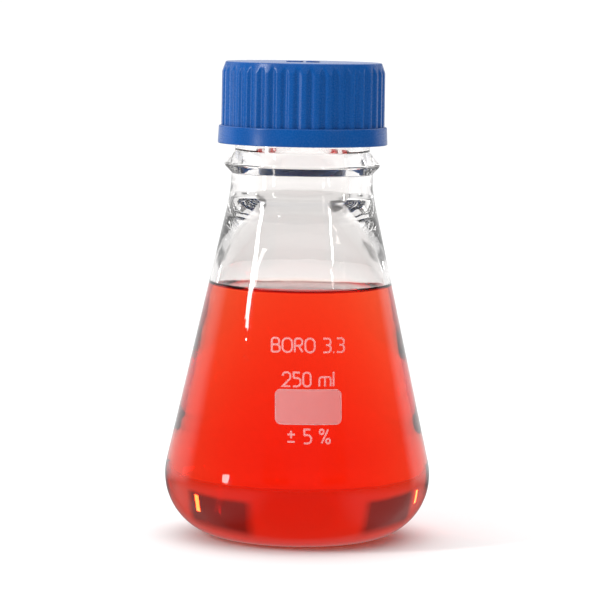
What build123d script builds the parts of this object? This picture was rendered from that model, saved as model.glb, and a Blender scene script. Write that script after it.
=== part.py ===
"""Conical laboratory flask, 250 ml, with a ribbed screw cap on a 45 mm glass-thread neck.

Millimetres, +Z up.  The origin is the centre of the circle that the flask stands on.
The printed marks face -Y.  The flask is made of borosilicate glass, the cap and its
pouring ring of polypropylene, and a silicone disc seals the cap.
"""

import os
from math import cos, radians, sin, tan

from build123d import *

os.makedirs("parts", exist_ok=True)

# ---- driving dimensions -------------------------------------------------------------

# flask body
body_radius = 42.5
heel_radius = 20.0
cone_half_angle = 12.6
body_wall = 2.2
shoulder_blend = 45.0

# underside and inner floor
foot_inner_radius = 19.0
foot_blend = 10.0
foot_dome_angle = 10.0
floor_height = 3.4
floor_dome_angle = 7.0
inner_heel_radius = 16.0

# neck and mouth
neck_radius = 22.6
thread_root_radius = 21.55
mouth_radius = 15.0
bore_bottom = 111.0
throat_angle = 36.0
throat_radius = 6.0
rim_radius = 20.7
rim_bottom = 144.9
rim_step = 1.0
lip_height = 147.6

# collar under the cap
collar_radius = 25.2
collar_bottom = 116.7
collar_tip = 119.45
collar_top = 123.6

# rounds of the corners from below the collar, over the lip and into the mouth
neck_rounds = (0.4, 1.0, 0.6, 0.5, 0.3, 0.8, 1.2)

# liquid
liquid_level = 79.6

# 45 mm glass thread
pitch = 4.0
thread_depth = 0.9
thread_root_half_width = 1.5
thread_crest_half_width = 0.6
thread_crest_round = 0.3
thread_bury = 0.6
run_out_angle = 45.0
run_out_depth = 1.35
points_per_turn = 12
neck_thread_bottom = 132.5
neck_thread_turns = 2.25
cap_thread_turns = 2.0

# screw cap
cap_bottom = 126.0
cap_top = 152.0
crown_thickness = 1.8
cap_bore_radius = 22.75
entry_radius = 23.6
entry_height = 1.2
band_height = 5.7
band_bottom_radius = 27.1
band_top_radius = 26.8
skirt_bottom_radius = 26.1
skirt_top_radius = 26.0
crown_slope_height = 3.3
crown_radius = 24.85
# rounds of the corners from the crown, down the skirt and into the cap
cap_rounds = (0.5, 2.0, 0, 0.5, 0.3, 0.2, 0.2, 0.3)
rib_count = 40
groove_depth = 0.8
groove_radius = 1.42
size_number_height = 8.0
size_number_relief = 0.3

# pouring ring and sealing disc
ring_bore_radius = 15.6
ring_outer_radius = 21.4
ring_gap = 0.02
ring_skirt_bottom = 145.3
ring_plate_top = 148.3
ring_seal_radius = 20.4
ring_top = 149.0
disc_radius = 22.3
disc_gap = 0.05

# printed enamel
enamel_thickness = 0.06
print_depth = 40.0
print_plane_distance = 60.0
mark_height = 4.2
letter_pen = 0.14
letter_gap = 0.2
glass_type_height = 64.8
capacity_height = 54.4
spot_height = 46.0
tolerance_height = 37.1
spot_width = 20.8
spot_rise = 10.8
spot_corner = 1.8
skin_bottom = 30.0
skin_top = 70.0

# ---- derived dimensions -------------------------------------------------------------

cone_cos = cos(radians(cone_half_angle))
cone_sin = sin(radians(cone_half_angle))
heel_centre = body_radius - heel_radius
inner_heel_height = floor_height + inner_heel_radius
crown_underside = cap_top - crown_thickness
band_top = cap_bottom + band_height
cap_thread_bottom = neck_thread_bottom - pitch / 2


def cone_radius(height, inset=0.0):
    """Radius of the flask's cone at a height, or of the cone a distance inside it."""
    rise = height - heel_radius
    return heel_centre + (heel_radius - inset - rise * cone_sin) / cone_cos


def cone_height(radius):
    """Height at which the flask's outer cone has a radius."""
    return heel_radius + (heel_radius - (radius - heel_centre) * cone_cos) / cone_sin


# both rounds of the inner floor's rim touch: the dome and the heel, and the heel and the cone
inner_heel_centre = cone_radius(inner_heel_height, body_wall + inner_heel_radius)
floor_reach = inner_heel_centre / sin(radians(floor_dome_angle))
floor_apex = floor_height + floor_reach * (1 - cos(radians(floor_dome_angle)))
foot_reach = foot_inner_radius / sin(radians(foot_dome_angle))
foot_apex = foot_reach * (1 - cos(radians(foot_dome_angle)))

# the round that joins the cone to the neck
shoulder_tangent = shoulder_blend * tan(radians(cone_half_angle / 2))
shoulder_corner = cone_height(neck_radius)
cone_top = (
    neck_radius + shoulder_tangent * cone_sin,
    shoulder_corner - shoulder_tangent * cone_cos,
)

# the throat widens below the bore in two rounds, and the lower one touches the inner cone
throat_out = throat_radius * (1 - cos(radians(throat_angle)))
throat_middle = bore_bottom - throat_radius * sin(radians(throat_angle))
round_across = cone_cos - cos(radians(throat_angle))
round_down = sin(radians(throat_angle)) - cone_sin
to_cone = (cone_radius(throat_middle, body_wall) - mouth_radius - throat_out) * cone_cos
lower_throat_radius = to_cone / (round_across * cone_cos - round_down * cone_sin)
throat_bottom = throat_middle - lower_throat_radius * round_down


def cavity_side(top_height):
    """Lines from the middle of the inner floor, round the heel and up the inner cone."""
    floor_dome = floor_reach - inner_heel_radius
    floor = JernArc((0, floor_apex), (1, 0), floor_dome, -floor_dome_angle)
    turn = floor_dome_angle + 90 + cone_half_angle
    heel = JernArc(floor @ 1, floor % 1, inner_heel_radius, turn)
    return Line(heel @ 1, (cone_radius(top_height, body_wall), top_height))


def thread_ridge(radius, bottom, turns, outward):
    """A right-hand ridge on a wall, outward 1 or inward -1, whose ends sink into the wall."""
    step = 360 / points_per_turn
    count = round(turns * points_per_turn)
    points = []
    for i in range(count + 1):
        angle = i * step
        sunk = max(0.0, 1 - min(angle, count * step - angle) / run_out_angle)
        reach = radius - outward * run_out_depth * sunk * sunk * (3 - 2 * sunk)
        side = radians(angle)
        points.append((reach * cos(side), reach * sin(side), bottom + pitch * angle / 360))
    with BuildPart() as ridge:
        with BuildLine() as route:
            Spline(*points)
        section = Plane(origin=route.line @ 0, x_dir=(1, 0, 0), z_dir=(0, -1, 0))
        with BuildSketch(section) as tooth:
            with BuildLine():
                Polyline(
                    (-outward * thread_bury, -thread_root_half_width),
                    (outward * thread_depth, -thread_crest_half_width),
                    (outward * thread_depth, thread_crest_half_width),
                    (-outward * thread_bury, thread_root_half_width),
                    close=True,
                )
            make_face()
            crest = tooth.vertices().group_by(Axis.X)[-1 if outward > 0 else 0]
            fillet(crest, thread_crest_round)
        sweep(path=route.line, is_frenet=True)
    return ridge.part


# Each character is its width and its pen strokes, on a grid four units high.  A stroke is
# its points and the radius of all its corners, or a radius for each.
CHARACTERS = {
    " ": (1.0, []),
    ".": (0.3, [([(0, 0), (0.3, 0)], 0)]),
    "0": (2.2, [([(0, 0), (2.2, 0), (2.2, 4), (0, 4), (0, 0)], 1.0)]),
    "2": (2.2, [([(0, 3), (0, 4), (2.2, 4), (2.2, 2.3), (0, 0), (2.2, 0)], (0.95, 0.95, 0.6, 0))]),
    "3": (
        2.2,
        [
            ([(0, 4), (2.2, 4), (2.2, 2.1), (0.8, 2.1)], 0.85),
            ([(0.8, 2.1), (2.2, 2.1), (2.2, 0), (0, 0)], 0.9),
        ],
    ),
    "4": (2.2, [([(1.6, 0), (1.6, 4)], 0), ([(1.4, 3.9), (0, 1.2), (2.2, 1.2)], 0.35)]),
    "5": (
        2.2,
        [([(2, 4), (0.2, 4), (0.2, 2.4), (2.2, 2.4), (2.2, 0), (0, 0)], (0, 0.35, 1.0, 1.1))],
    ),
    "B": (
        2.3,
        [
            ([(1.2, 2.1), (2.1, 2.1), (2.1, 4), (0, 4), (0, 0)], 0.8),
            ([(0, 2.1), (2.3, 2.1), (2.3, 0), (0, 0)], 0.9),
        ],
    ),
    "O": (2.8, [([(0, 0), (2.8, 0), (2.8, 4), (0, 4), (0, 0)], 1.35)]),
    "R": (
        2.3,
        [
            ([(0, 0), (0, 4), (2.2, 4), (2.2, 1.9), (0, 1.9)], 0.85),
            ([(1.1, 1.9), (2.3, 0)], 0),
        ],
    ),
    "m": (
        3.4,
        [
            ([(0, 0), (0, 2.7), (1.7, 2.7), (1.7, 0)], 0.7),
            ([(1.2, 2.7), (3.4, 2.7), (3.4, 0)], 0.7),
        ],
    ),
    "l": (0.2, [([(0.1, 0), (0.1, 4.2)], 0)]),
    "±": (
        2.2,
        [
            ([(0, 2.5), (2.2, 2.5)], 0),
            ([(1.1, 3.6), (1.1, 1.4)], 0),
            ([(0, 0.4), (2.2, 0.4)], 0),
        ],
    ),
    "%": (
        3.0,
        [
            ([(0.5, 0), (2.5, 4)], 0),
            ([(0, 2.7), (1.1, 2.7), (1.1, 4), (0, 4), (0, 2.7)], 0.5),
            ([(1.9, 0), (3.0, 0), (3.0, 1.3), (1.9, 1.3), (1.9, 0)], 0.5),
        ],
    ),
}


def lettering(text, height):
    """Pen strokes of a text, centred on the origin of the sketch that is being made."""
    unit = height / 4
    gap = letter_gap * 4
    length = sum(CHARACTERS[c][0] for c in text) + gap * (len(text) - 1)
    left = -length / 2
    for character in text:
        width, strokes = CHARACTERS[character]
        for points, rounds in strokes:
            placed = [((left + x) * unit, (y - 2) * unit) for x, y in points]
            with BuildLine() as stroke:
                if isinstance(rounds, tuple):
                    FilletPolyline(*placed, radius=[r * unit for r in rounds])
                elif rounds > 0:
                    FilletPolyline(*placed, radius=rounds * unit)
                else:
                    Polyline(*placed)
            trace(stroke.line, line_width=letter_pen * height)
        left += width + gap


def print_plane(height):
    """A plane in front of the flask at a height; its outline is printed back onto the cone."""
    return Plane(origin=(0, -print_plane_distance, height), x_dir=(1, 0, 0), z_dir=(0, -1, 0))


# ---- glass flask --------------------------------------------------------------------

neck_ridge = thread_ridge(thread_root_radius, neck_thread_bottom, neck_thread_turns, 1)

with BuildPart() as glass_flask:
    with BuildSketch(Plane.XZ):
        with BuildLine():
            dome = JernArc((0, foot_apex), (1, 0), foot_reach - foot_blend, -foot_dome_angle)
            foot_edge = JernArc(dome @ 1, dome % 1, foot_blend, foot_dome_angle)
            foot = Line(foot_edge @ 1, (heel_centre, 0))
            heel = JernArc(foot @ 1, (1, 0), heel_radius, 90 + cone_half_angle)
            cone = Line(heel @ 1, cone_top)
            shoulder = JernArc(cone @ 1, cone % 1, shoulder_blend, -cone_half_angle)
            neck = FilletPolyline(
                shoulder @ 1,
                (neck_radius, collar_bottom),
                (collar_radius, collar_tip),
                (thread_root_radius, collar_top),
                (thread_root_radius, rim_bottom - rim_step),
                (rim_radius, rim_bottom),
                (rim_radius, lip_height),
                (mouth_radius, lip_height),
                (mouth_radius, bore_bottom),
                radius=neck_rounds,
            )
            throat = JernArc(neck @ 1, (0, -1), throat_radius, throat_angle)
            JernArc(throat @ 1, throat % 1, lower_throat_radius, cone_half_angle - throat_angle)
            cavity_side(throat_bottom)
            Line((0, foot_apex), (0, floor_apex))
        make_face()
    revolve(axis=Axis.Z)
    add(neck_ridge)
glass_flask.part.label = "glass_flask"
export_step(glass_flask.part, "parts/glass_flask.step")

# ---- liquid: it fills the flask to its level ----------------------------------------

with BuildPart() as sample_liquid:
    with BuildSketch(Plane.XZ):
        with BuildLine():
            side = cavity_side(liquid_level)
            Polyline(side @ 1, (0, liquid_level), (0, floor_apex))
        make_face()
    revolve(axis=Axis.Z)
sample_liquid.part.label = "sample_liquid"
export_step(sample_liquid.part, "parts/sample_liquid.step")

# ---- pouring ring: it clips round the rim and stays on the flask ----------------------

with BuildPart() as pouring_ring:
    with BuildSketch(Plane.XZ):
        with BuildLine():
            Polyline(
                (ring_bore_radius, lip_height + ring_gap),
                (rim_radius + ring_gap, lip_height + ring_gap),
                (rim_radius + ring_gap, ring_skirt_bottom),
                (ring_outer_radius, ring_skirt_bottom),
                (ring_outer_radius, ring_top),
                (ring_seal_radius, ring_top),
                (ring_seal_radius - ring_top + ring_plate_top, ring_plate_top),
                (ring_bore_radius, ring_plate_top),
                close=True,
            )
        make_face()
    revolve(axis=Axis.Z)
pouring_ring.part.label = "pouring_ring"
export_step(pouring_ring.part, "parts/pouring_ring.step")

# ---- sealing disc: it rises with the cap and does not turn ---------------------------

with BuildPart() as cap_liner:
    with BuildSketch(Plane.XY.offset(ring_top + disc_gap)):
        Circle(disc_radius)
    extrude(amount=crown_underside - ring_top - 2 * disc_gap)
cap_liner.part.label = "cap_liner"
export_step(cap_liner.part, "parts/cap_liner.step")

# ---- screw cap ------------------------------------------------------------------------

cap_ridge = thread_ridge(cap_bore_radius, cap_thread_bottom, cap_thread_turns, -1)

with BuildPart() as screw_cap:
    with BuildSketch(Plane.XZ):
        with BuildLine():
            FilletPolyline(
                (0, cap_top),
                (crown_radius, cap_top),
                (skirt_top_radius, cap_top - crown_slope_height),
                (skirt_bottom_radius, band_top),
                (band_top_radius, band_top),
                (band_bottom_radius, cap_bottom),
                (entry_radius, cap_bottom),
                (cap_bore_radius, cap_bottom + entry_height),
                (cap_bore_radius, crown_underside),
                (0, crown_underside),
                radius=cap_rounds,
            )
            Line((0, crown_underside), (0, cap_top))
        make_face()
    revolve(axis=Axis.Z)
    with BuildSketch(Plane.XY.offset(band_top)):
        with PolarLocations(skirt_top_radius - groove_depth + groove_radius, rib_count):
            Circle(groove_radius)
    extrude(amount=cap_top - band_top, mode=Mode.SUBTRACT)
    with BuildSketch(Plane.XY.offset(cap_top - size_number_relief)):
        lettering("45", size_number_height)
    extrude(amount=2 * size_number_relief)
    add(cap_ridge)
screw_cap.part.label = "screw_cap"
export_step(screw_cap.part, "parts/screw_cap.step")

# ---- printed enamel: a thin skin on the front of the cone ------------------------------

with BuildPart() as enamel_skin:
    with BuildSketch(Plane.XZ):
        with BuildLine():
            Polyline(
                (cone_radius(skin_bottom), skin_bottom),
                (cone_radius(skin_top), skin_top),
                (cone_radius(skin_top, -enamel_thickness), skin_top),
                (cone_radius(skin_bottom, -enamel_thickness), skin_bottom),
                close=True,
            )
        make_face()
    revolve(axis=Axis.Z)

for name, text, height in (
    ("glass_type_mark", "BORO 3.3", glass_type_height),
    ("capacity_mark", "250 ml", capacity_height),
    ("tolerance_mark", "± 5 %", tolerance_height),
):
    with BuildPart() as mark:
        with BuildSketch(print_plane(height)):
            lettering(text, mark_height)
        extrude(amount=-print_depth)
        add(enamel_skin.part, mode=Mode.INTERSECT)
    mark.part.label = name
    export_step(mark.part, f"parts/{name}.step")

with BuildPart() as marking_spot:
    with BuildSketch(print_plane(spot_height)):
        RectangleRounded(spot_width, spot_rise, spot_corner)
    extrude(amount=-print_depth)
    add(enamel_skin.part, mode=Mode.INTERSECT)
marking_spot.part.label = "marking_spot"
export_step(marking_spot.part, "parts/marking_spot.step")
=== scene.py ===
import math

import bmesh
import bpy
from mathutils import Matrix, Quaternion, Vector

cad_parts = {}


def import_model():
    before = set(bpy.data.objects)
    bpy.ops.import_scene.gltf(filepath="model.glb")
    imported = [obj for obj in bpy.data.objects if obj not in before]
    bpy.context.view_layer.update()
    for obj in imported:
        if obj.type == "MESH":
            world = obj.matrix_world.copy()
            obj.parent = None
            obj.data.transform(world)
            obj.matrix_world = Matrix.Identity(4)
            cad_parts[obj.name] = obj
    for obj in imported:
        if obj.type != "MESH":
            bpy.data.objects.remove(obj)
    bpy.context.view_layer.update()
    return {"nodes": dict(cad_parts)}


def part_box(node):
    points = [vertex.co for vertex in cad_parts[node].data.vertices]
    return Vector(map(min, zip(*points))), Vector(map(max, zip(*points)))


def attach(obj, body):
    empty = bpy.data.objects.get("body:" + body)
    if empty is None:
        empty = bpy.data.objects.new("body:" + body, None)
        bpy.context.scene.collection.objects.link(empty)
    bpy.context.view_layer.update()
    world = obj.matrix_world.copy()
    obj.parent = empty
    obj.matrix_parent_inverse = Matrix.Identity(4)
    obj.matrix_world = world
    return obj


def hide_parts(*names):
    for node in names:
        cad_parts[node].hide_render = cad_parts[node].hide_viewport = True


# A conical laboratory flask with a screw cap, part full of a clear red liquid.  Lengths below are
# in millimetres and become metres where a mesh is made.  The profiles repeat the CAD dimensions.

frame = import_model()

MM = 0.001

# ---- dimensions that follow the frame -------------------------------------------------------

flask_low, flask_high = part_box("glass_flask")
liquid_low, liquid_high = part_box("sample_liquid")
cap_low, cap_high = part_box("screw_cap")

BODY_RADIUS = flask_high.x / MM
LIP_HEIGHT = flask_high.z / MM
LIQUID_LEVEL = liquid_high.z / MM
CAP_BOTTOM = cap_low.z / MM
BAND_RADIUS = cap_high.x / MM

HEEL_RADIUS = 20.0
CONE_ANGLE = 12.6
WALL = 2.2
SHOULDER_BLEND = 45.0
FOOT_INNER_RADIUS = 19.0
FOOT_BLEND = 10.0
FOOT_DOME_ANGLE = 10.0
FLOOR_HEIGHT = 3.4
FLOOR_DOME_ANGLE = 7.0
INNER_HEEL_RADIUS = 16.0
NECK_RADIUS = 22.6
THREAD_ROOT_RADIUS = 21.55
MOUTH_RADIUS = 15.0
BORE_BOTTOM = 111.0
THROAT_ANGLE = 36.0
THROAT_RADIUS = 6.0
RIM_RADIUS = 20.7
RIM_BOTTOM = 144.9
RIM_STEP = 1.0
COLLAR_RADIUS = 25.2
COLLAR_BOTTOM = 116.7
COLLAR_TIP = 119.45
COLLAR_TOP = 123.6
NECK_ROUNDS = (0.4, 1.0, 0.6, 0.5, 0.3, 0.8, 1.2)

PITCH = 4.0
THREAD_DEPTH = 0.9
THREAD_ROOT_HALF = 1.3
THREAD_CREST_HALF = 0.5
THREAD_BOTTOM = 132.5
THREAD_TURNS = 2.25
RUN_OUT_TURNS = 0.125

CAP_TOP = 152.0
CROWN_THICKNESS = 1.8
CROWN_SLOPE_HEIGHT = 3.3
CROWN_RADIUS = 24.85
CAP_BORE_RADIUS = 22.75
ENTRY_RADIUS = 23.6
ENTRY_HEIGHT = 1.2
BAND_TOP = CAP_BOTTOM + 5.7
BAND_TOP_RADIUS = 26.8
SKIRT_BOTTOM_RADIUS = 26.1
SKIRT_TOP_RADIUS = 26.0
CAP_ROUNDS = (0.5, 2.0, 0, 0.5, 0.3, 0.2, 0.2, 0.3)
CAP_THREAD_TURNS = 2.0
RIB_COUNT = 40
GROOVE_DEPTH = 0.8
GROOVE_HALF_WIDTH = 1.277
GROOVE_SOFTNESS = 0.16
NUMBER_HEIGHT = 8.0
CAPITAL_SHARE = 0.7
NUMBER_RELIEF = 0.3
NUMBER_HALF_DEPTH = 0.15
NUMBER_BEVEL = 0.05

SPOT_WIDTH = 20.8
SPOT_RISE = 10.8
SPOT_HEIGHT = 46.0
SPOT_EDGE = 0.45
SPOT_EDGE_FADE = 0.2

# ---- the liquid's surface, and how finely the meshes are cut --------------------------------

WATER_GAP = 0.03
SKIN = 0.02
CAPILLARY_LENGTH = 1.6
CONTACT_SLOPE = 76.0
SURFACE_STEPS = 40
SEGMENTS = 240
CAP_SEGMENTS = 480
CROWN_STEP = 0.25
NECK_THREAD_STEP = 0.25
CAP_THREAD_STEP = 0.4
SHARP_ANGLE = 35.0

# ---- looks ----------------------------------------------------------------------------------

GLASS_IOR = 1.474
WATER_IOR = 1.333
# Part of this glass colour is the glass's own faint warm tint and part is painted shade: it is
# darker than clear glass, so everything seen through the glass and the wetted glass is greyed.
GLASS_TINT_AND_PAINTED_SHADE = (0.925, 0.908, 0.898, 1)
GLASS_WAVES = (150, 6e-5)
CLEAR = (1, 1, 1, 1)
LIQUID_RIPPLES = (120, 1e-5)
DYE_COLOUR = (0.985, 0.34, 0.03, 1)
DYE_DENSITY = 85.0
GRAIN_DEPTH = 0.0002
LETTER_COVER = 0.19
SPOT_COVER = 0.22
SPOT_EDGE_COVER = 0.32

# ---- light: the world's strengths, and the ends of its zones as parts of a unit direction ----

FRONT_LIGHT = 0.13
BACK_LIGHT = 0.95
TOP_LIGHT = 1.5
TABLE_LIGHT = 0.4
TABLE_FRONT_SHARE = 0.15
GROUND_LIGHT = 0.2
CAMERA_SEES = 1.05
BACK_ZONE = (0.30, 0.50)
TOP_ZONE = (0.45, 0.85)
GROUND_ZONE = (-0.08, -0.18)
TABLE_ZONE = (-0.1, -0.25)
TABLE_SIDE_ZONE = (0.45, 0.7)
FLAG_LIGHT = 0.27
FLAG_CENTRE = 0.03
FLAG_INNER_EDGE = (0.21, 0.26)
FLAG_OUTER_EDGE = (0.62, 0.56)
FLAG_BOTTOM_EDGE = (0.065, 0.095)
FLAG_TOP_EDGE = (0.30, 0.24)
LAMP_AIM_HEIGHT = 0.08
FLOOR_HALF_SIZE = 30.0

# ---- camera, in metres and degrees ----------------------------------------------------------

CAMERA_AZIMUTH = -5.0
CAMERA_DISTANCE = 1.068
CAMERA_HEIGHT = 0.175
AIM_HEIGHT = 0.0759
CAMERA_LENS = 200.9
CAMERA_ROLL = 0.95

HEEL_CENTRE = BODY_RADIUS - HEEL_RADIUS
COS = math.cos(math.radians(CONE_ANGLE))
SIN = math.sin(math.radians(CONE_ANGLE))


def cone_radius(height, inset=0.0):
    """Radius of the flask's cone at a height, or of the cone a distance inside it."""
    return HEEL_CENTRE + (HEEL_RADIUS - inset - (height - HEEL_RADIUS) * SIN) / COS


# ---- profiles -------------------------------------------------------------------------------


class Profile:
    """Points of a line that starts somewhere and goes on in arcs and straight runs."""

    def __init__(self, x, y, heading):
        self.points = [(x, y)]
        self.heading = math.radians(heading)

    def arc(self, radius, degrees, steps):
        """Turns left for positive degrees and right for negative ones."""
        side = 1 if degrees > 0 else -1
        x, y = self.points[-1]
        cx = x - side * radius * math.sin(self.heading)
        cy = y + side * radius * math.cos(self.heading)
        start = self.heading
        for i in range(1, steps + 1):
            a = start + math.radians(degrees) * i / steps
            self.points.append((cx + side * radius * math.sin(a), cy - side * radius * math.cos(a)))
        self.heading = start + math.radians(degrees)

    def line(self, x, y, steps=1):
        """A straight run to a point, cut into steps."""
        x0, y0 = self.points[-1]
        for i in range(1, steps + 1):
            t = i / steps
            self.points.append((x0 + (x - x0) * t, y0 + (y - y0) * t))
        self.heading = math.atan2(y - y0, x - x0)

    def rounded(self, corners, radii, last, steps=6):
        """Straight runs through corners, each rounded by its radius, up to a last point."""
        ends = corners[1:] + [last]
        for (cx, cy), (nx, ny), radius in zip(corners, ends, radii):
            x0, y0 = self.points[-1]
            before = math.atan2(cy - y0, cx - x0)
            after = math.atan2(ny - cy, nx - cx)
            turn = (after - before + math.pi) % (2 * math.pi) - math.pi
            cut = radius * math.tan(abs(turn) / 2)
            self.line(cx - cut * math.cos(before), cy - cut * math.sin(before))
            if radius:
                self.arc(radius, math.degrees(turn), steps)
        self.line(*last)


def floor_and_side(profile_top, inset, steps=1):
    """The flask's inner floor, heel and cone, a distance clear of the glass."""
    heel_radius = INNER_HEEL_RADIUS - inset
    heel_height = FLOOR_HEIGHT + INNER_HEEL_RADIUS
    heel_x = cone_radius(heel_height, WALL + INNER_HEEL_RADIUS)
    reach = heel_x / math.sin(math.radians(FLOOR_DOME_ANGLE))
    apex = FLOOR_HEIGHT + reach * (1 - math.cos(math.radians(FLOOR_DOME_ANGLE))) + inset
    p = Profile(0, apex, 0)
    p.arc(reach - heel_radius, -FLOOR_DOME_ANGLE, 14)
    p.arc(heel_radius, FLOOR_DOME_ANGLE + 90 + CONE_ANGLE, 40)
    p.line(cone_radius(profile_top, WALL + inset), profile_top, steps)
    return p


def flask_outside():
    """From the middle of the underside, up the outside, over the lip and down to the throat."""
    reach = FOOT_INNER_RADIUS / math.sin(math.radians(FOOT_DOME_ANGLE))
    apex = reach * (1 - math.cos(math.radians(FOOT_DOME_ANGLE)))
    p = Profile(0, apex, 0)
    p.arc(reach - FOOT_BLEND, -FOOT_DOME_ANGLE, 12)
    p.arc(FOOT_BLEND, FOOT_DOME_ANGLE, 5)
    p.line(HEEL_CENTRE, 0)
    p.heading = 0
    p.arc(HEEL_RADIUS, 90 + CONE_ANGLE, 44)
    corner = HEEL_RADIUS + (HEEL_RADIUS - (NECK_RADIUS - HEEL_CENTRE) * COS) / SIN
    cut = SHOULDER_BLEND * math.tan(math.radians(CONE_ANGLE / 2))
    p.line(NECK_RADIUS + cut * SIN, corner - cut * COS, 12)
    p.arc(SHOULDER_BLEND, -CONE_ANGLE, 12)
    p.rounded(
        [
            (NECK_RADIUS, COLLAR_BOTTOM),
            (COLLAR_RADIUS, COLLAR_TIP),
            (THREAD_ROOT_RADIUS, COLLAR_TOP),
            (THREAD_ROOT_RADIUS, RIM_BOTTOM - RIM_STEP),
            (RIM_RADIUS, RIM_BOTTOM),
            (RIM_RADIUS, LIP_HEIGHT),
            (MOUTH_RADIUS, LIP_HEIGHT),
        ],
        NECK_ROUNDS,
        (MOUTH_RADIUS, BORE_BOTTOM),
    )
    p.arc(THROAT_RADIUS, THROAT_ANGLE, 14)
    x, y = p.points[-1]
    across = COS - math.cos(math.radians(THROAT_ANGLE))
    down = math.sin(math.radians(THROAT_ANGLE)) - SIN
    lower = (cone_radius(y, WALL) - x) * COS / (across * COS - down * SIN)
    p.arc(lower, CONE_ANGLE - THROAT_ANGLE, 14)
    return p.points


def divided(points, radius, low, high, step):
    """The same line, with its runs near a radius and between two heights cut into short steps."""
    out = [points[0]]
    for (x0, y0), (x1, y1) in zip(points, points[1:]):
        near = abs((x0 + x1) / 2 - radius) < 0.7
        if near and min(y0, y1) < high and max(y0, y1) > low and abs(y1 - y0) > step:
            count = math.ceil(abs(y1 - y0) / step)
            for i in range(1, count):
                out.append((x0 + (x1 - x0) * i / count, y0 + (y1 - y0) * i / count))
        out.append((x1, y1))
    return out


def cap_line():
    """From the crown's underside on the axis, down the bore and up the outside to the top."""
    underside = CAP_TOP - CROWN_THICKNESS
    slope_bottom = CAP_TOP - CROWN_SLOPE_HEIGHT
    p = Profile(0, CAP_TOP, 0)
    p.rounded(
        [
            (CROWN_RADIUS, CAP_TOP),
            (SKIRT_TOP_RADIUS, slope_bottom),
            (SKIRT_BOTTOM_RADIUS, BAND_TOP),
            (BAND_TOP_RADIUS, BAND_TOP),
            (BAND_RADIUS, CAP_BOTTOM),
            (ENTRY_RADIUS, CAP_BOTTOM),
            (CAP_BORE_RADIUS, CAP_BOTTOM + ENTRY_HEIGHT),
            (CAP_BORE_RADIUS, underside),
        ],
        CAP_ROUNDS,
        (0, underside),
    )
    slope_middle = (CROWN_RADIUS + SKIRT_TOP_RADIUS) / 2
    points = divided(p.points, slope_middle, slope_bottom, CAP_TOP, CROWN_STEP)
    points = divided(points, CAP_BORE_RADIUS, CAP_BOTTOM + 1, CAP_BOTTOM + 16, CAP_THREAD_STEP)
    return list(reversed(points))


# ---- meshes ---------------------------------------------------------------------------------


def lathe(name, points, bulge=None, segments=SEGMENTS):
    """Turns a line from axis to axis about Z.  bulge adds to the radius by height and angle."""
    verts = []
    rings = []
    for r, z in points:
        if r < 1e-6:
            rings.append([len(verts)] * segments)
            verts.append((0, 0, z * MM))
            continue
        ring = []
        for i in range(segments):
            a = 2 * math.pi * i / segments
            out = r + (bulge(r, z, a) if bulge else 0.0)
            ring.append(len(verts))
            verts.append((out * math.cos(a) * MM, out * math.sin(a) * MM, z * MM))
        rings.append(ring)
    faces = []
    for low, high in zip(rings, rings[1:]):
        for i in range(segments):
            j = (i + 1) % segments
            face = []
            for v in (low[i], low[j], high[j], high[i]):
                if v not in face:
                    face.append(v)
            if len(face) > 2:
                faces.append(face)
    mesh = bpy.data.meshes.new(name)
    mesh.from_pydata(verts, [], faces)
    mesh.shade_smooth()
    mesh.set_sharp_from_angle(angle=math.radians(SHARP_ANGLE))
    obj = bpy.data.objects.new(name, mesh)
    bpy.context.scene.collection.objects.link(obj)
    return obj


def thread(z, a, bottom, turns):
    """Height of a screw thread over its root at a height and an angle."""
    turn = a / (2 * math.pi)
    along = round((z - bottom) / PITCH - turn) + turn
    away = abs(z - bottom - PITCH * along)
    flank = (THREAD_ROOT_HALF - away) / (THREAD_ROOT_HALF - THREAD_CREST_HALF)
    ends = min(along, turns - along) / RUN_OUT_TURNS
    rise = max(0.0, min(1.0, flank)) * max(0.0, min(1.0, ends))
    return THREAD_DEPTH * rise * rise * (3 - 2 * rise)


def neck_shape(r, z, a):
    """The neck's thread stands out from its root."""
    if abs(r - THREAD_ROOT_RADIUS) > 1e-6:
        return 0.0
    return thread(z, a, THREAD_BOTTOM, THREAD_TURNS)


def soft_max(a, b, soft):
    """The larger of two values, with the change from one to the other rounded."""
    return (a + b + math.sqrt((a - b) ** 2 + soft**2)) / 2


def cap_shape(r, z, a):
    """The cap's thread stands in from its bore, and its grooves are cut into the skirt."""
    if abs(r - CAP_BORE_RADIUS) < 1e-6:
        return -thread(z, a, THREAD_BOTTOM - PITCH / 2, CAP_THREAD_TURNS)
    if z < BAND_TOP - 1e-6 or not CAP_BORE_RADIUS + 1 < r < SKIRT_BOTTOM_RADIUS + 0.1:
        return 0.0
    part = 2 * math.pi / RIB_COUNT
    along = (a - part * round(a / part)) * SKIRT_TOP_RADIUS
    cut = soft_max(0.0, GROOVE_DEPTH * (1 - (along / GROOVE_HALF_WIDTH) ** 2), GROOVE_SOFTNESS)
    return -soft_max(0.0, r - (SKIRT_BOTTOM_RADIUS - cut), GROOVE_SOFTNESS)


def meniscus(slope):
    """Distance from the far liquid, and height over its level, where the surface has a slope."""
    a = math.radians(slope)
    across = -math.log(math.tan(a / 4)) - 2 * math.cos(a / 2)
    return CAPILLARY_LENGTH * across, 2 * CAPILLARY_LENGTH * math.sin(a / 2)


def surface_line(outer_radius, drop):
    """The liquid's surface from the glass to the axis, a distance below its true height."""
    points = []
    start = meniscus(CONTACT_SLOPE)[0]
    for i in range(SURFACE_STEPS + 1):
        across, height = meniscus(CONTACT_SLOPE * (1 - i / (SURFACE_STEPS + 1)) ** 1.5)
        points.append((outer_radius - (across - start), LIQUID_LEVEL + height - drop))
    return points + [(0, LIQUID_LEVEL - drop)]


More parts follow.
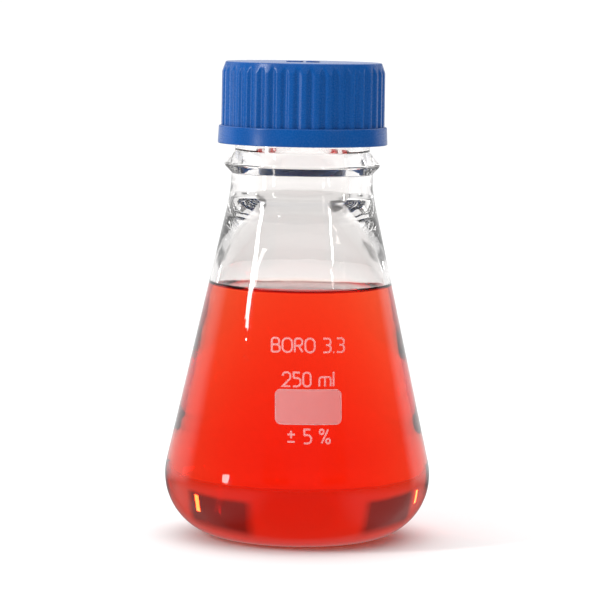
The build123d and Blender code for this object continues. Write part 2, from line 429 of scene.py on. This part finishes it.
def raised_number(text):
    """Rounded figures that stand up from the middle of the crown."""
    curve = bpy.data.curves.new("figures", "FONT")
    curve.body = text
    curve.align_x = "CENTER"
    curve.align_y = "CENTER"
    curve.size = NUMBER_HEIGHT / CAPITAL_SHARE * MM
    curve.extrude = NUMBER_HALF_DEPTH * MM
    curve.bevel_depth = NUMBER_BEVEL * MM
    curve.bevel_resolution = 1
    source = bpy.data.objects.new("figures", curve)
    bpy.context.scene.collection.objects.link(source)
    bpy.context.view_layer.update()
    final = source.evaluated_get(bpy.context.evaluated_depsgraph_get())
    mesh = bpy.data.meshes.new_from_object(final)
    bpy.data.objects.remove(source)
    work = bmesh.new()
    work.from_mesh(mesh)
    bmesh.ops.remove_doubles(work, verts=work.verts, dist=1e-6)
    middle = CAP_TOP + NUMBER_RELIEF - NUMBER_HALF_DEPTH - NUMBER_BEVEL
    bmesh.ops.translate(work, verts=work.verts, vec=(0, 0, middle * MM))
    work.to_mesh(mesh)
    work.free()
    mesh.name = "cap_number"
    obj = bpy.data.objects.new("cap_number", mesh)
    bpy.context.scene.collection.objects.link(obj)
    return obj


# ---- materials ------------------------------------------------------------------------------


def material(name):
    """A new node material and its one Principled shader."""
    m = bpy.data.materials.new(name)
    m.use_nodes = True
    nodes = m.node_tree.nodes
    shader = next(n for n in nodes if n.type == "BSDF_PRINCIPLED")
    return m, shader


def texture_point(m, scale=(1, 1, 1)):
    """Object coordinates, scaled, for procedural textures."""
    nodes, links = m.node_tree.nodes, m.node_tree.links
    coords = nodes.new("ShaderNodeTexCoord")
    mapping = nodes.new("ShaderNodeMapping")
    mapping.inputs["Scale"].default_value = scale
    links.new(coords.outputs["Object"], mapping.inputs["Vector"])
    return mapping.outputs["Vector"]


def noise(m, scale, detail=2.0, stretch=(1, 1, 1)):
    """A noise texture's value; scale is in waves per metre."""
    node = m.node_tree.nodes.new("ShaderNodeTexNoise")
    node.inputs["Scale"].default_value = scale
    node.inputs["Detail"].default_value = detail
    m.node_tree.links.new(texture_point(m, stretch), node.inputs["Vector"])
    return node.outputs["Fac"]


def ramp(m, value, low, high, colour_low, colour_high):
    """A colour that goes from one to another as a value goes from low to high."""
    node = m.node_tree.nodes.new("ShaderNodeValToRGB")
    node.color_ramp.elements[0].position = low
    node.color_ramp.elements[0].color = (*colour_low, 1)
    node.color_ramp.elements[1].position = high
    node.color_ramp.elements[1].color = (*colour_high, 1)
    m.node_tree.links.new(value, node.inputs["Fac"])
    return node.outputs["Color"]


def bump(m, shader, value, strength, distance):
    """Bends a shader's normal by a height value."""
    node = m.node_tree.nodes.new("ShaderNodeBump")
    node.inputs["Strength"].default_value = strength
    node.inputs["Distance"].default_value = distance
    m.node_tree.links.new(value, node.inputs["Height"])
    m.node_tree.links.new(node.outputs["Normal"], shader.inputs["Normal"])


def math_node(tree, operation, *values):
    """A sum, product or the like of sockets and numbers."""
    node = tree.nodes.new("ShaderNodeMath")
    node.operation = operation
    for socket, value in zip(node.inputs, values):
        if isinstance(value, (int, float)):
            socket.default_value = value
        else:
            tree.links.new(value, socket)
    return node.outputs["Value"]


def fade(tree, value, zone, low=0.0, high=1.0):
    """Goes from one number to another while a value crosses a zone."""
    node = tree.nodes.new("ShaderNodeMapRange")
    node.inputs["From Min"].default_value = zone[0]
    node.inputs["From Max"].default_value = zone[1]
    node.inputs["To Min"].default_value = low
    node.inputs["To Max"].default_value = high
    tree.links.new(value, node.inputs["Value"])
    return node.outputs["Result"]


def clear_material(name, ior, colour, waves=None):
    """A clear, smooth surface of a given index; waves are a number to the metre and a height."""
    m, shader = material(name)
    shader.inputs["Base Color"].default_value = colour
    shader.inputs["Roughness"].default_value = 0.0
    shader.inputs["Transmission Weight"].default_value = 1.0
    shader.inputs["IOR"].default_value = ior
    if waves:
        bump(m, shader, noise(m, waves[0], 1), 1.0, waves[1])
    return m


def liquid_material():
    """Clear liquid whose dye takes green and blue light.  Its bending of light is left to the
    wetted glass and to the surface piece, so its own index is that of its surroundings."""
    m = clear_material("red_liquid", 1.0, CLEAR)
    dye = m.node_tree.nodes.new("ShaderNodeVolumeAbsorption")
    dye.inputs["Color"].default_value = DYE_COLOUR
    dye.inputs["Density"].default_value = DYE_DENSITY
    out = next(n for n in m.node_tree.nodes if n.type == "OUTPUT_MATERIAL")
    m.node_tree.links.new(dye.outputs["Volume"], out.inputs["Volume"])
    return m


def cap_material():
    """Satin blue polypropylene with faint flow marks and a fine moulded grain."""
    m, shader = material("blue_polypropylene")
    drift = noise(m, 60, 2, (1, 1, 0.4))
    colour = ramp(m, drift, 0.3, 0.7, (0.002, 0.070, 0.285), (0.003, 0.088, 0.345))
    m.node_tree.links.new(colour, shader.inputs["Base Color"])
    grain = noise(m, 2500, 2)
    rough = ramp(m, grain, 0.3, 0.7, (0.22,) * 3, (0.32,) * 3)
    m.node_tree.links.new(rough, shader.inputs["Roughness"])
    bump(m, shader, grain, 0.06, GRAIN_DEPTH)
    shader.inputs["Specular IOR Level"].default_value = 0.3
    return m


def plain_material(name, colour_a, colour_b, roughness, scale):
    """A moulded material whose colour drifts a little, with a fine grain."""
    m, shader = material(name)
    colour = ramp(m, noise(m, scale), 0.3, 0.7, colour_a, colour_b)
    m.node_tree.links.new(colour, shader.inputs["Base Color"])
    shader.inputs["Roughness"].default_value = roughness
    bump(m, shader, noise(m, scale * 20), 0.05, GRAIN_DEPTH)
    return m


def enamel_material(name, colour_a, colour_b):
    """Thin print with a fine grain, which lets the liquid's colour through."""
    m, shader = material(name)
    colour = ramp(m, noise(m, 6000, 3), 0.3, 0.7, colour_a, colour_b)
    m.node_tree.links.new(colour, shader.inputs["Base Color"])
    shader.inputs["Roughness"].default_value = 0.6
    return m, shader


def letter_material():
    """The letters' print, as thin everywhere."""
    m, shader = enamel_material("white_enamel", (0.86, 0.85, 0.85), (0.95, 0.94, 0.94))
    shader.inputs["Alpha"].default_value = LETTER_COVER
    return m


def spot_material():
    """The marking spot's print: thinner in the middle than along its edge."""
    m, shader = enamel_material("spot_enamel", (0.58, 0.56, 0.56), (0.66, 0.64, 0.64))
    tree = m.node_tree
    split = tree.nodes.new("ShaderNodeSeparateXYZ")
    tree.links.new(texture_point(m), split.inputs["Vector"])
    edges = []
    for axis, middle, half in (("X", 0.0, SPOT_WIDTH / 2), ("Z", SPOT_HEIGHT, SPOT_RISE / 2)):
        offset = math_node(tree, "SUBTRACT", split.outputs[axis], middle * MM)
        start = (half - SPOT_EDGE) * MM
        end = (half - SPOT_EDGE + SPOT_EDGE_FADE) * MM
        size = math_node(tree, "ABSOLUTE", offset)
        edges.append(fade(tree, size, (start, end), SPOT_COVER, SPOT_EDGE_COVER))
    tree.links.new(math_node(tree, "MAXIMUM", *edges), shader.inputs["Alpha"])
    return m


# Both glass surfaces take the colour that holds the faint tint and the painted shade.
glass = clear_material("borosilicate_glass", GLASS_IOR, GLASS_TINT_AND_PAINTED_SHADE, GLASS_WAVES)
wet_glass = clear_material("wetted_glass", GLASS_IOR / WATER_IOR, GLASS_TINT_AND_PAINTED_SHADE, GLASS_WAVES)
red_liquid = liquid_material()
skin_top = clear_material("liquid_surface", WATER_IOR, CLEAR, LIQUID_RIPPLES)
skin_under = clear_material("liquid_under_surface", 1.0, CLEAR, LIQUID_RIPPLES)
cap_blue = cap_material()
ring_blue = plain_material("ring_polypropylene", (0.01, 0.10, 0.37), (0.015, 0.13, 0.43), 0.3, 80)
letter_enamel = letter_material()
spot_enamel = spot_material()
silicone = plain_material("silicone", (0.72, 0.72, 0.69), (0.80, 0.80, 0.77), 0.55, 120)


# ---- pieces ---------------------------------------------------------------------------------

contact_height = LIQUID_LEVEL + meniscus(CONTACT_SLOPE)[1]
thread_end = RIM_BOTTOM - RIM_STEP
outside = divided(
    flask_outside(), THREAD_ROOT_RADIUS, THREAD_BOTTOM - 3, thread_end, NECK_THREAD_STEP
)
inside = floor_and_side(contact_height, 0.0, 10).points
flask = lathe("flask_glass", outside + list(reversed(inside)), neck_shape)
flask.data.materials.append(glass)
flask.data.materials.append(wet_glass)
for poly in flask.data.polygons:
    if poly.index >= len(outside) * SEGMENTS:
        poly.material_index = 1
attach(flask, "flask")
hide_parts("glass_flask")

water = floor_and_side(contact_height - 3 * SKIN, WATER_GAP, 10).points
edge_radius = cone_radius(contact_height, WALL + WATER_GAP)
liquid = lathe("liquid_body", water + surface_line(edge_radius, 2 * SKIN))
liquid.data.materials.append(red_liquid)
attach(liquid, "flask")
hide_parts("sample_liquid")

under = surface_line(edge_radius, SKIN)
surface = lathe("liquid_skin", list(reversed(under)) + surface_line(edge_radius, 0.0))
surface.data.materials.append(skin_top)
surface.data.materials.append(skin_under)
for poly in surface.data.polygons:
    if poly.index < len(under) * SEGMENTS:
        poly.material_index = 1
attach(surface, "flask")

cap = lathe("cap_shell", cap_line(), cap_shape, CAP_SEGMENTS)
cap.data.materials.append(cap_blue)
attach(cap, "cap")
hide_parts("screw_cap")

number = raised_number("45")
number.data.materials.append(cap_blue)
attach(number, "cap")

nodes = frame["nodes"]
looks = {
    "pouring_ring": ring_blue,
    "cap_liner": silicone,
    "glass_type_mark": letter_enamel,
    "capacity_mark": letter_enamel,
    "tolerance_mark": letter_enamel,
    "marking_spot": spot_enamel,
}
for node, look in looks.items():
    nodes[node].data.materials.clear()
    nodes[node].data.materials.append(look)

# ---- floor, light and camera ----------------------------------------------------------------


def floor():
    """A wide pale floor, level with the foot of the flask."""
    size = FLOOR_HALF_SIZE
    mesh = bpy.data.meshes.new("floor")
    corners = [(-size, -size, 0), (size, -size, 0), (size, size, 0), (-size, size, 0)]
    mesh.from_pydata(corners, [], [(0, 1, 2, 3)])
    obj = bpy.data.objects.new("floor", mesh)
    bpy.context.scene.collection.objects.link(obj)
    m, shader = material("pale_floor")
    shader.inputs["Base Color"].default_value = (0.9, 0.9, 0.9, 1)
    shader.inputs["Roughness"].default_value = 0.9
    shader.inputs["Specular IOR Level"].default_value = 0.0
    obj.data.materials.append(m)
    obj.visible_glossy = False


def strip_light(name, azimuth, low, high, distance, width, power, reflected=True):
    """An upright light, turned to the flask; its edges are elevations in degrees."""
    data = bpy.data.lights.new(name, "AREA")
    data.shape = "RECTANGLE"
    bottom = distance * math.tan(math.radians(low))
    top = distance * math.tan(math.radians(high))
    data.size = width
    data.size_y = top - bottom
    data.energy = power
    obj = bpy.data.objects.new(name, data)
    a = math.radians(azimuth)
    height = LAMP_AIM_HEIGHT + (top + bottom) / 2
    obj.location = (math.sin(a) * distance, -math.cos(a) * distance, height)
    aim = Vector((0, 0, LAMP_AIM_HEIGHT)) - obj.location
    obj.rotation_euler = aim.to_track_quat("-Z", "Y").to_euler()
    obj.visible_glossy = reflected
    bpy.context.scene.collection.objects.link(obj)


def world():
    """Soft studio surroundings: white behind and above the flask, dark behind the camera and below
    the horizon apart from its sides, and a dark flag on each side behind the flask.  The camera
    itself sees plain white there."""
    w = bpy.data.worlds.new("studio")
    bpy.context.scene.world = w
    w.use_nodes = True
    tree = w.node_tree
    back = next(n for n in tree.nodes if n.type == "BACKGROUND")
    back.inputs["Color"].default_value = (1, 1, 1, 1)
    coords = tree.nodes.new("ShaderNodeTexCoord")
    split = tree.nodes.new("ShaderNodeSeparateXYZ")
    tree.links.new(coords.outputs["Generated"], split.inputs["Vector"])

    x, y, z = split.outputs["X"], split.outputs["Y"], split.outputs["Z"]
    side = math_node(tree, "ABSOLUTE", math_node(tree, "SUBTRACT", x, FLAG_CENTRE))
    flag = fade(tree, side, FLAG_INNER_EDGE)
    for value, zone in ((side, FLAG_OUTER_EDGE), (z, FLAG_BOTTOM_EDGE), (z, FLAG_TOP_EDGE)):
        flag = math_node(tree, "MULTIPLY", flag, fade(tree, value, zone))
    backdrop = fade(tree, y, BACK_ZONE, FRONT_LIGHT, BACK_LIGHT)
    shaded = fade(tree, flag, (0.0, 1.0), 1.0, FLAG_LIGHT)
    backdrop = math_node(tree, "MULTIPLY", backdrop, shaded)
    ground = fade(tree, z, GROUND_ZONE, 1.0, GROUND_LIGHT)
    backdrop = math_node(tree, "MULTIPLY", backdrop, ground)
    light = math_node(tree, "ADD", backdrop, fade(tree, z, TOP_ZONE, 0.0, TOP_LIGHT))
    aside = fade(tree, math_node(tree, "ABSOLUTE", x), TABLE_SIDE_ZONE, TABLE_FRONT_SHARE, 1.0)
    table = math_node(tree, "MULTIPLY", aside, fade(tree, z, TABLE_ZONE))
    table = math_node(tree, "MULTIPLY", table, TABLE_LIGHT)
    light = math_node(tree, "ADD", light, table)
    path = tree.nodes.new("ShaderNodeLightPath")
    seen = tree.nodes.new("ShaderNodeMix")
    tree.links.new(path.outputs["Is Camera Ray"], seen.inputs["Factor"])
    tree.links.new(light, seen.inputs["A"])
    seen.inputs["B"].default_value = CAMERA_SEES
    tree.links.new(seen.outputs["Result"], back.inputs["Strength"])


def camera():
    """The camera at the photograph's viewing angle, with its slight roll."""
    data = bpy.data.cameras.new("camera")
    data.lens = CAMERA_LENS
    data.sensor_width = 36.0
    data.clip_start = 0.05
    data.clip_end = 200
    obj = bpy.data.objects.new("camera", data)
    a = math.radians(CAMERA_AZIMUTH)
    obj.location = (
        math.sin(a) * CAMERA_DISTANCE,
        -math.cos(a) * CAMERA_DISTANCE,
        CAMERA_HEIGHT,
    )
    aim = Vector((0, 0, AIM_HEIGHT)) - obj.location
    obj.rotation_mode = "QUATERNION"
    turn = aim.to_track_quat("-Z", "Y")
    obj.rotation_quaternion = turn @ Quaternion((0, 0, 1), math.radians(CAMERA_ROLL))
    bpy.context.scene.collection.objects.link(obj)
    bpy.context.scene.camera = obj


floor()
world()
strip_light("left_strip", -70, 15, 38, 1.6, 0.20, 14)
strip_light("right_strip", 40, 18.8, 24, 1.6, 0.08, 1.5)
strip_light("left_low", -68, -4, 7, 0.8, 0.09, 0.6)
strip_light("back_lamp_right", 180 - 33, 3.5, 9, 2.0, 0.07, 1.6, False)
strip_light("back_lamp_left", 180 + 38, 3.5, 8, 2.0, 0.07, 1.4, False)
camera()

scene = bpy.context.scene
scene.view_settings.view_transform = "Standard"
scene.cycles.max_bounces = 24
scene.cycles.transmission_bounces = 20
scene.cycles.glossy_bounces = 12
scene.cycles.transparent_max_bounces = 24
